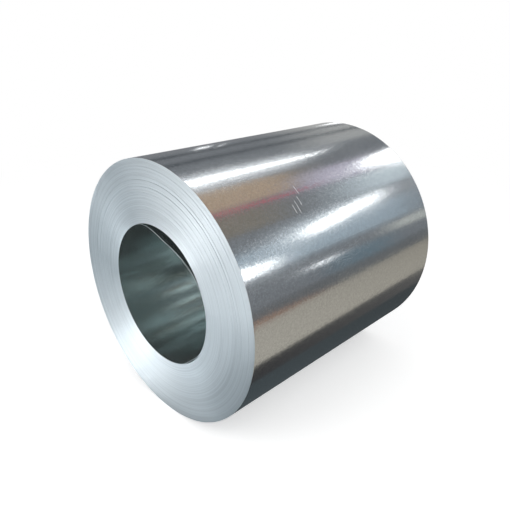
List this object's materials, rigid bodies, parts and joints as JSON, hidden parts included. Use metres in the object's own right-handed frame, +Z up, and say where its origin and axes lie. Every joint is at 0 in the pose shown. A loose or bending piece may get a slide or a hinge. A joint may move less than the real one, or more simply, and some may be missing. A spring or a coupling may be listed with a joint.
{
  "type": "galvanised steel coil",
  "caption": "Coil of galvanised steel strip lying on its side, wound tight round an open bore, with flat end faces where the edges of the turns show.",
  "frame": {"origin": "on the floor, straight below the middle of the coil's axis", "axes": "+Y along the coil's axis from the end face in the picture towards the far one, +Z up, +X towards the side of the coil that the picture shows"},
  "size_m": [0.9458, 1, 0.946],
  "materials": {
    "zinc_coated_steel": "satin"
  },
  "bodies": {
    "root": {"wound_strip": "zinc_coated_steel"}
  },
  "joints": []
}
